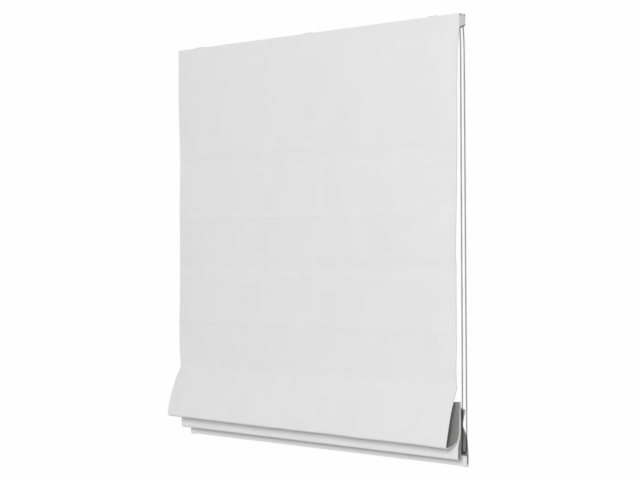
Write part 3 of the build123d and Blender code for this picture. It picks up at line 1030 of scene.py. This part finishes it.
def grown(name, source, tree, values):
    # runs a node tree on an object and keeps the result as a plain mesh piece
    modifier = source.modifiers.new("grow", "NODES")
    modifier.node_group = tree
    for item in tree.interface.items_tree:
        if item.in_out == "INPUT" and item.name in values:
            modifier[item.identifier] = values[item.name]
    bpy.context.view_layer.update()
    evaluated = source.evaluated_get(bpy.context.evaluated_depsgraph_get())
    mesh = bpy.data.meshes.new_from_object(evaluated)
    mesh.name = name
    source.modifiers.remove(modifier)
    bpy.data.objects.remove(source, do_unlink=True)
    piece = bpy.data.objects.new(name, mesh)
    bpy.context.collection.objects.link(piece)
    return piece


def linePoints(curve):
    # the points that a curve with no bevel is drawn through
    mesh = bpy.data.meshes.new_from_object(curve)
    places = [tuple(vertex.co) for vertex in mesh.vertices]
    bpy.data.meshes.remove(mesh)
    return places


# ---- stitches
stitch = {
    "pitch": 0.0036,
    "length": 0.0026,
    "radius": 0.00022,
    "fromEdge": 0.013,
    "proud": 0.00005,
    "fromRod": 0.0056,
    "rowHalf": 0.573,
    "hemRowsUp": 46,  # rows of the folded cloth between the bar hem's end and its seam
}
stitchValues = {
    "Pitch": stitch["pitch"],
    "Stitch length": stitch["length"],
    "Thread radius": stitch["radius"],
    "Finish": finishes["sewingThread"],
}


def facePoint(side, z):
    y = hangY(side, z) - swell(side, z) - cloth["thickness"] / 2 - stitch["proud"]
    return (side * halfWidthAt(side, z), y, z)


def hangingStitches():
    lines = []
    for end in (-1, 1):
        side = end * (1 - stitch["fromEdge"] / cloth["lowHalf"])
        line = []
        for i in range(120):
            z = cloth["headBottom"] - 0.002 + (cloth["seam"] - cloth["headBottom"] + 0.008) * i / 119
            x, y, z = facePoint(side, z)
            line.append((x, y + 0.0002, z))
        lines.append(line)
    for rod in cloth["rods"][:2]:
        for offset in (stitch["fromRod"], -stitch["fromRod"]):
            lines.append([facePoint(-0.975 + 1.95 * i / 60, rod + offset) for i in range(61)])
    return lines


def foldStitches():
    lines = []
    for end in (-1, 1):
        side = end * (1 - stitch["fromEdge"] / cloth["lowHalf"])
        column = min(range(len(sides)), key=lambda c: abs(sides[c] - side))
        line = []
        for row in foldedRows[1:-6]:
            x, y, z, ny, nz, s = row[column]
            reach = cloth["thickness"] / 2 - 0.0001
            line.append((x, y - ny * reach, z - nz * reach))
        lines.append(line)
    hemRow = len(foldedRows) - 4 - turnSteps
    line = []
    for x, y, z, ny, nz, s in foldedRows[hemRow - stitch["hemRowsUp"]][4:-4]:
        reach = cloth["thickness"] / 2 + stitch["proud"]
        line.append((x, y - ny * reach, z - nz * reach))
    lines.append(line)
    return lines


def pocketStitches(places):
    lines = []
    for y, z in places:
        for offset in (stitch["fromRod"], -stitch["fromRod"]):
            back = pocket["backY"] + pocket["thickness"] + stitch["proud"]
            count = 40
            steps = [2 * i / count - 1 for i in range(count + 1)]
            lines.append([(stitch["rowHalf"] * step, back, z + offset) for step in steps])
    return lines


dropStitches = grown(
    "drop_stitches", curveObject("dropRows", hangingStitches()), stitchRow, stitchValues
)
foldedStitches = grown(
    "fold_stitches", curveObject("foldRows", foldStitches()), stitchRow, stitchValues
)
for i, body in enumerate(rodBodies[:3]):
    rows = curveObject(f"pocketRows{i}", pocketStitches([rodPlaces[i]]))
    sewn = grown(f"pocket_stitches_{i + 1}", rows, stitchRow, stitchValues)
    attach(sewn, body)
print("stitches made")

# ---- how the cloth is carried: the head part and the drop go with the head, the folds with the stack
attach(faceHead, "head")
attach(faceDrop, "head")
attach(foldedCloth, "stack")
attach(dropStitches, "head")
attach(foldedStitches, "stack")
for piece in (faceDrop, dropStitches):
    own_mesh(piece)
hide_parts("fabric_drop")
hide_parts("fabric_drop")
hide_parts("fabric_folds")
print("cloth joined to its bodies")

# ---- bead chain: one open line from the wheel's top round the loop and back to it
chain = {
    "x": 0.59505,
    "diameter": 0.0045,
    "length": 2.570,
    "route": [  # Y and Z, down the front strand and up the back one
        (0.0000, -0.0132),
        (-0.0075, -0.0135),
        (-0.0088, -0.0220),
        (-0.0084, -0.0420),
        (-0.0046, -0.0780),
        (-0.0036, -0.1500),
        (-0.0020, -0.6000),
        (0.0008, -1.0800),
        (-0.0010, -1.2500),
        (-0.0016, -1.2900),
        (0.0080, -1.2935),
        (0.0195, -1.2900),
        (0.0215, -1.2500),
        (0.0205, -1.0800),
        (0.0170, -0.6000),
        (0.0142, -0.1500),
        (0.0126, -0.0780),
        (0.0088, -0.0420),
        (0.0088, -0.0220),
        (0.0075, -0.0135),
        (0.0010, -0.0132),
    ],
}
chainLine = curveObject("chainLine", [[(chain["x"], y, z) for y, z in chain["route"]]], "NURBS")
chainPath = linePoints(chainLine)
beadChain = grown("bead_string", chainLine, beadsOnCord, {"Finish": finishes["beadGrey"]})
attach(beadChain, "head")
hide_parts("bead_chain")
print("chain strung, points", len(chainPath))

# ---- lift cords and the cord wound on the spools
liftCord = {
    "y": 0.0061,
    "top": -0.0275,
    "low": -1.1714,
    "radius": 0.0006,
    "places": {"left": -0.46, "centre": 0.0, "right": 0.46},
}
liftLength = liftCord["top"] - liftCord["low"]
for name, x in liftCord["places"].items():
    levels = [liftCord["top"] - liftLength * i / 4 for i in range(5)]
    route = curveObject("liftRoute", [[(x, liftCord["y"], z) for z in levels]], "NURBS")
    path = linePoints(route)
    route.data.bevel_depth = liftCord["radius"]
    route.data.bevel_resolution = 2
    route.data.use_fill_caps = True
    bpy.context.view_layer.update()
    evaluated = route.evaluated_get(bpy.context.evaluated_depsgraph_get())
    mesh = bpy.data.meshes.new_from_object(evaluated)
    bpy.data.objects.remove(route, do_unlink=True)
    mesh.materials.clear()
    mesh.materials.append(braidedCord)
    uvLayer = mesh.uv_layers[0] if mesh.uv_layers else mesh.uv_layers.new(name="cordUV")
    for loop in mesh.loops:
        place = mesh.vertices[loop.vertex_index].co
        turn = math.atan2(place.y - liftCord["y"], place.x - x)
        uvLayer.data[loop.index].uv = (turn * 0.0006, place.z + turn * 0.0012)
    cord = bpy.data.objects.new(f"lift_line_{name}", mesh)
    bpy.context.collection.objects.link(cord)
    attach(cord, "head")
    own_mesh(cord)
    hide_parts(f"lift_cord_{name}")
winding = {"start": 0.0007, "axis": -0.022}
seats = bpy.data.meshes.new("windingSeats")
places = [(x + winding["start"], 0.0, winding["axis"]) for x in liftCord["places"].values()]
seats.from_pydata(places, [], [])
seatObject = bpy.data.objects.new("windingSeats", seats)
bpy.context.collection.objects.link(seatObject)
windings = grown("wound_cord", seatObject, woundCord, {"Finish": braidedCord})
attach(windings, "drive")
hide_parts("cord_windings")
print("lift cords and windings made")


# ---- floor, light and air
studio = {"floor": -2.3, "reach": 60.0, "air": 0.36, "backdrop": 0.99, "aim": (0.0, 0.0, -0.65)}


def backdropFor(tree, lit, seen):
    # the camera sees the pale backdrop, and everything else sees the shader that is lit
    path = tree.nodes.new("ShaderNodeLightPath")
    mixed = tree.nodes.new("ShaderNodeMixShader")
    tree.links.new(path.outputs["Is Camera Ray"], mixed.inputs["Fac"])
    tree.links.new(lit, mixed.inputs[1])
    tree.links.new(seen, mixed.inputs[2])
    return mixed.outputs[0]


def addStage():
    edge = studio["reach"]
    corners = [(-edge, -edge), (edge, -edge), (edge, edge), (-edge, edge)]
    mesh = bpy.data.meshes.new("floor")
    mesh.from_pydata([(x, y, studio["floor"]) for x, y in corners], [], [(0, 1, 2, 3)])
    finish = grainFinish("paleFloor", grainLook(grey(0.62), grey(0.58), 0.9, 0.0, (3.0,) * 3))
    tree = finish.node_tree
    pale = tree.nodes.new("ShaderNodeEmission")
    pale.inputs["Strength"].default_value = studio["backdrop"]
    lit = tree.nodes["Principled BSDF"].outputs[0]
    surface = backdropFor(tree, lit, pale.outputs[0])
    tree.links.new(surface, tree.nodes["Material Output"].inputs["Surface"])
    mesh.materials.append(finish)
    floor = bpy.data.objects.new("floor", mesh)
    bpy.context.collection.objects.link(floor)


def addLight(name, values):
    data = bpy.data.lights.new(name, "AREA")
    data.shape = "RECTANGLE"
    data.size, data.size_y = values["size"]
    data.energy = values["power"]
    lamp = bpy.data.objects.new(name, data)
    lamp.location = values["place"]
    direction = Vector(studio["aim"]) - Vector(values["place"])
    lamp.rotation_euler = direction.to_track_quat("-Z", "Y").to_euler()
    bpy.context.collection.objects.link(lamp)


lights = {
    "keySoft": {"place": (7.3, -11.6, 2.6), "size": (4.6, 4.2), "power": 1400.0},
    "backSoft": {"place": (-3.5, 9.0, 1.8), "size": (3.0, 2.4), "power": 260.0},
}
addStage()
for name, values in lights.items():
    addLight(name, values)
world = bpy.data.worlds.new("studioAir")
world.use_nodes = True
airTree = world.node_tree
airLight = airTree.nodes["Background"]
airLight.inputs["Color"].default_value = (1.0, 1.0, 1.0, 1.0)
airLight.inputs["Strength"].default_value = studio["air"]
backdrop = airTree.nodes.new("ShaderNodeBackground")
backdrop.inputs["Color"].default_value = (1.0, 1.0, 1.0, 1.0)
backdrop.inputs["Strength"].default_value = studio["backdrop"]
surface = backdropFor(airTree, airLight.outputs[0], backdrop.outputs[0])
airTree.links.new(surface, airTree.nodes["World Output"].inputs["Surface"])
bpy.context.scene.world = world
bpy.context.scene.view_settings.view_transform = "Standard"
bpy.context.scene.view_settings.look = "None"
print("stage and lights set")
